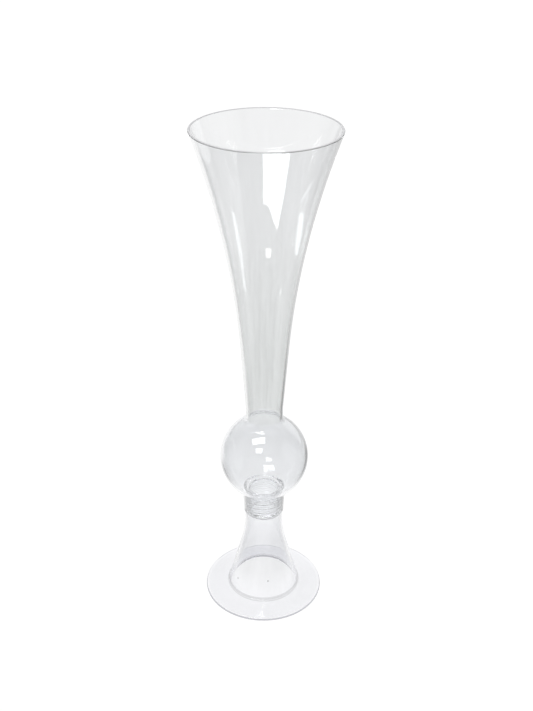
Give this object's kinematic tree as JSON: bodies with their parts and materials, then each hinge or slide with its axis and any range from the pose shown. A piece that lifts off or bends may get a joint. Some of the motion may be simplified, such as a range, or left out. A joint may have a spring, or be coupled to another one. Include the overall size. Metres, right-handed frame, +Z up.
{
  "type": "trumpet vase",
  "caption": "Tall clear trumpet vase: an open flared trumpet on a hollow ball, with a bell foot that screws up into the ball's threaded collar.",
  "frame": {"origin": "centre of the foot where it stands on the table", "axes": "+Z up along the vase's axis of revolution, through the middle of the mouth; +X and +Y are free"},
  "size_m": [0.1634, 0.1632, 0.61],
  "materials": {
    "clear_wall": "clear, polished moulded plastic",
    "seal": "soft translucent silicone"
  },
  "bodies": {
    "foot": {"foot": "clear_wall"},
    "seal": {"seal_ring": "seal"},
    "vessel": {"ball": "clear_wall", "trumpet": "clear_wall"}
  },
  "joints": [
    {"name": "screw_turn", "type": "hinge", "parent": "foot", "child": "seal", "pos_m": [0, 0, 0.1206], "axis": [0, 0, 1], "range_deg": [0, 1080]},
    {"name": "screw_rise", "type": "slide", "parent": "seal", "child": "vessel", "axis": [0, 0, 1], "range_m": [0, 0.0195]}
  ],
  "couplings": [
    {"joint": "screw_rise", "follows": "screw_turn", "m_per_rad": 0.0010345}
  ]
}
